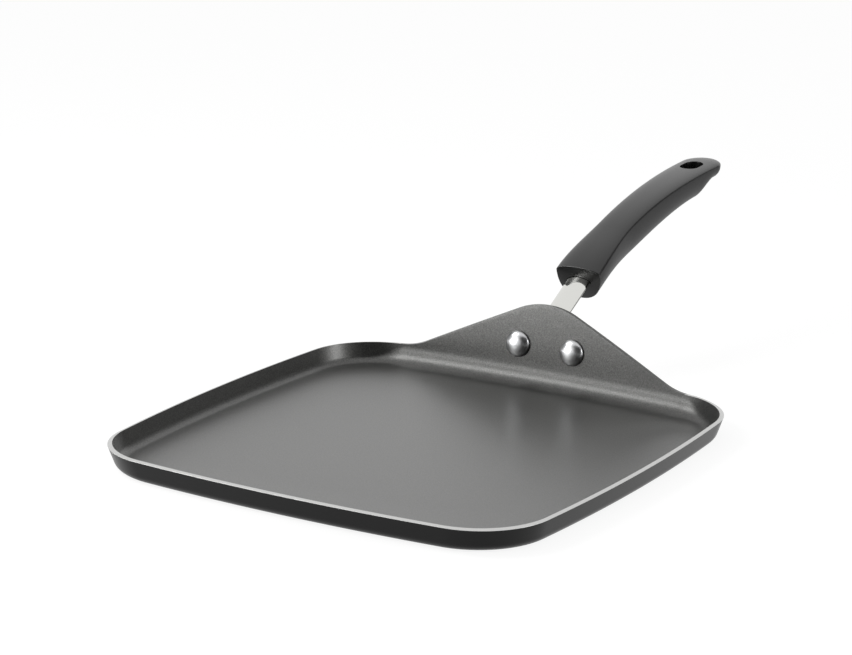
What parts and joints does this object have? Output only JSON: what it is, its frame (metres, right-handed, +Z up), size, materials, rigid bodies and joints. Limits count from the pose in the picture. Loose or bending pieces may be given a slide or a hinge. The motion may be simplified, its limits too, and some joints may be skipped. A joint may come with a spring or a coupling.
{
  "type": "griddle pan",
  "caption": "Square griddle pan: a low flared aluminium tray whose back wall rises into a handle tab, with a riveted stainless strap and an arched phenolic grip with a hang hole.",
  "frame": {"origin": "centre of the flat base's underside", "axes": "+Z up out of the base, +Y from the tray along the handle, +X to the right seen from the front"},
  "size_m": [0.2774, 0.485, 0.1011],
  "materials": {
    "coated_aluminium": "dark non-stick coating, bare machined rim",
    "stainless_strip": "polished",
    "rivet_aluminium": "bright",
    "phenolic": "satin moulded",
    "plated_steel": "zinc plated"
  },
  "bodies": {
    "root": {"pan_body": "coated_aluminium", "handle_bracket": "stainless_strip", "rivet_left": "rivet_aluminium", "rivet_right": "rivet_aluminium", "grip": "phenolic", "grip_screw": "plated_steel"}
  },
  "joints": []
}
